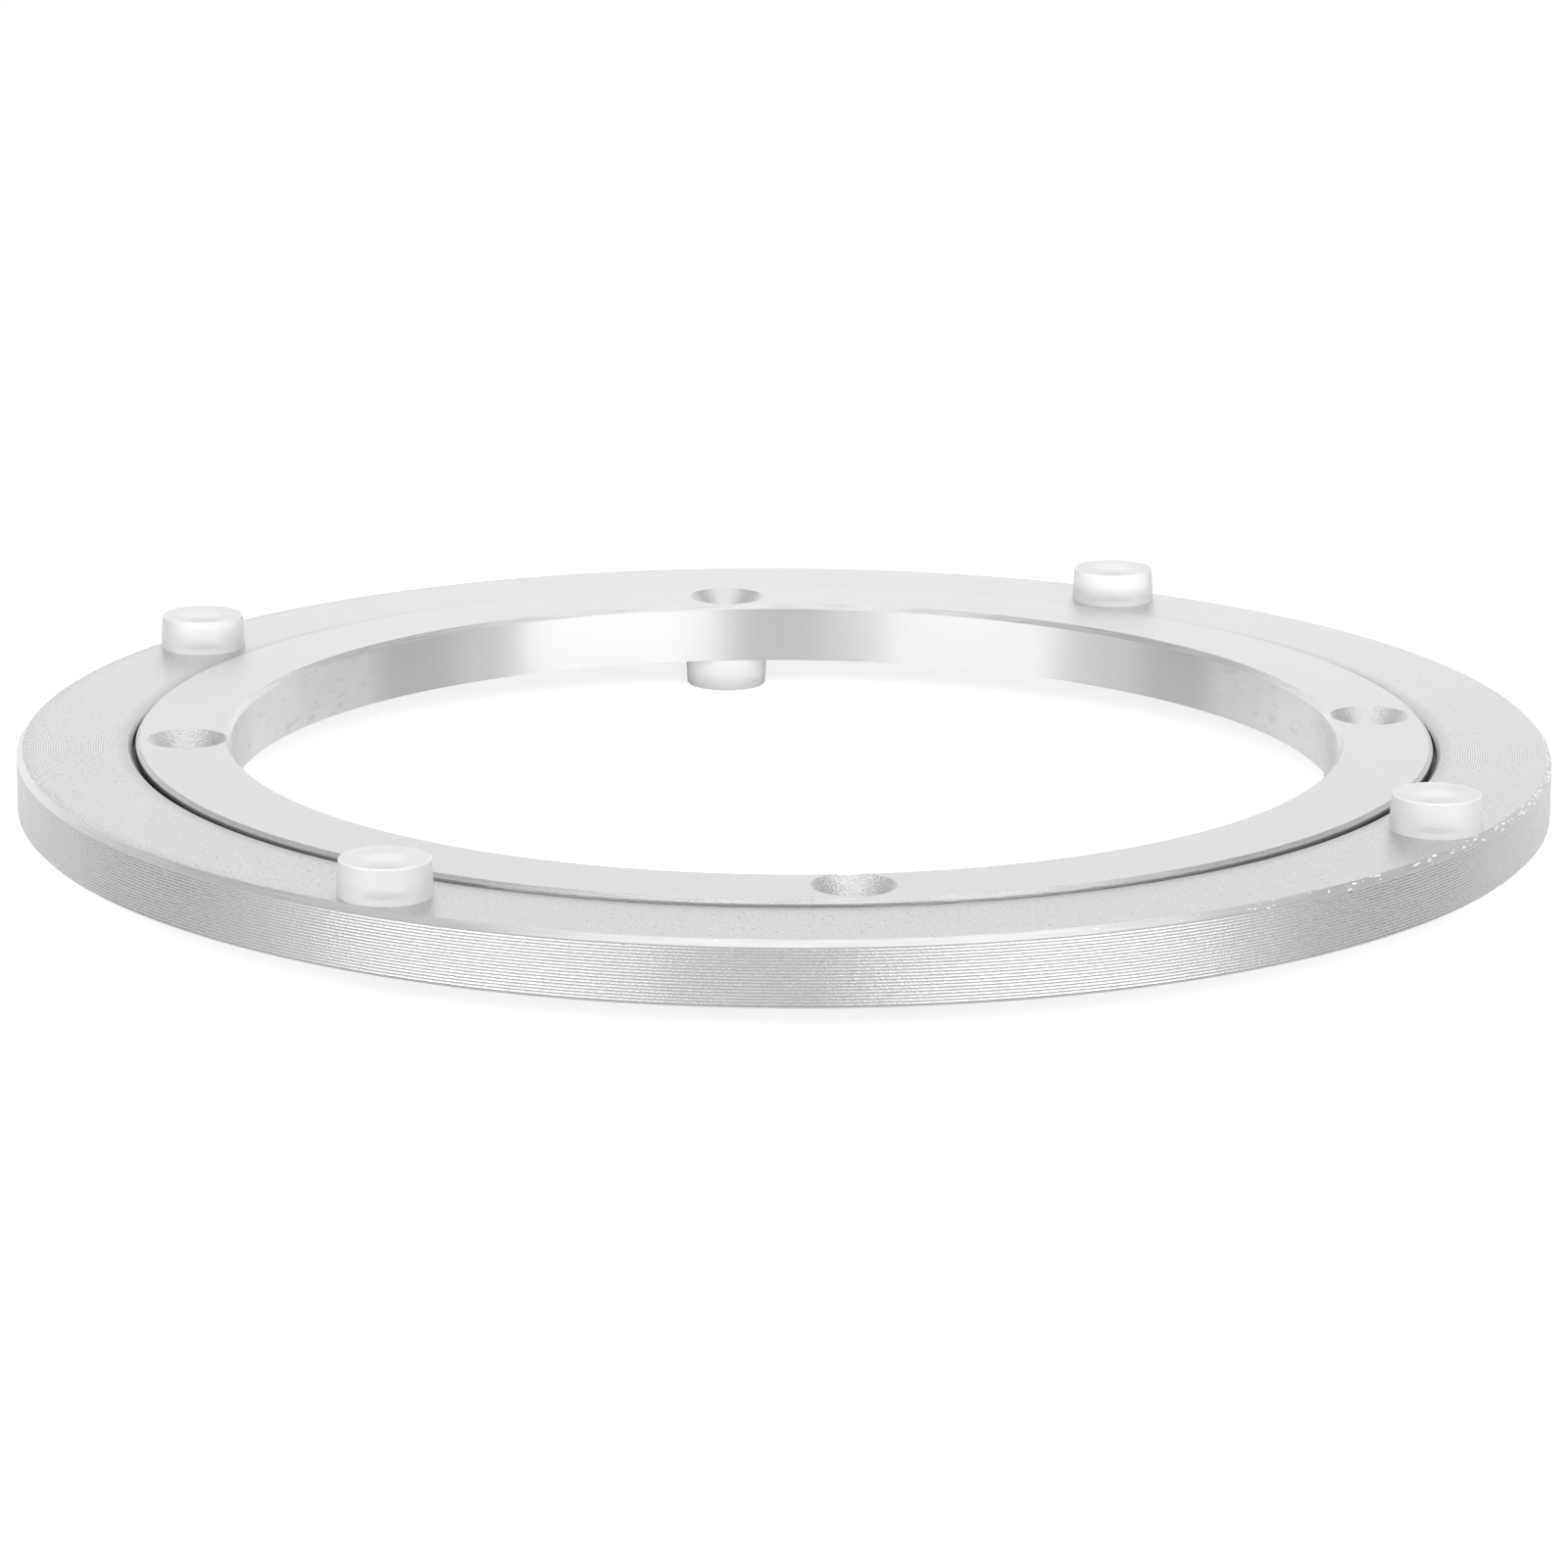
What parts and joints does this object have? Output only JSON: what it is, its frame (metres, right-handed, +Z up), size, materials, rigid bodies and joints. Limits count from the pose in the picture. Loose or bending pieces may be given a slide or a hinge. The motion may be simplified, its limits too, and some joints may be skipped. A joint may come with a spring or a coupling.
{
  "type": "lazy susan bearing",
  "caption": "Flat turntable bearing: an aluminium outer ring turns on balls round a fixed inner ring with countersunk screw holes, with soft silicone pads above and below.",
  "frame": {"origin": "on the turning axis, in the plane that the base pads stand on", "axes": "+Z up along the turning axis; +X to the right and -Y towards the viewer in the picture"},
  "size_m": [0.2, 0.2, 0.0165],
  "materials": {
    "aluminium": "satin, finely turned on the rim",
    "silicone": "milky and translucent",
    "ball_steel": "polished",
    "nylon": "natural"
  },
  "bodies": {
    "base": {"inner_ring": "aluminium", "base_pad_1": "silicone", "base_pad_2": "silicone", "base_pad_3": "silicone", "base_pad_4": "silicone"},
    "turntable": {"outer_ring": "aluminium", "filler_plug": "aluminium", "top_pad_1": "silicone", "top_pad_2": "silicone", "top_pad_3": "silicone", "top_pad_4": "silicone"},
    "ball_train": {"steel_balls": "ball_steel", "ball_spacers": "nylon"}
  },
  "joints": [
    {"name": "turntable_spin", "type": "hinge", "parent": "base", "child": "turntable", "pos_m": [0, 0, 0.00826], "axis": [0, 0, 1], "continuous": true},
    {"name": "ball_orbit", "type": "hinge", "parent": "base", "child": "ball_train", "pos_m": [0, 0, 0.00826], "axis": [0, 0, 1], "continuous": true}
  ],
  "couplings": [
    {"joint": "ball_orbit", "follows": "turntable_spin", "ratio": 0.50833}
  ]
}
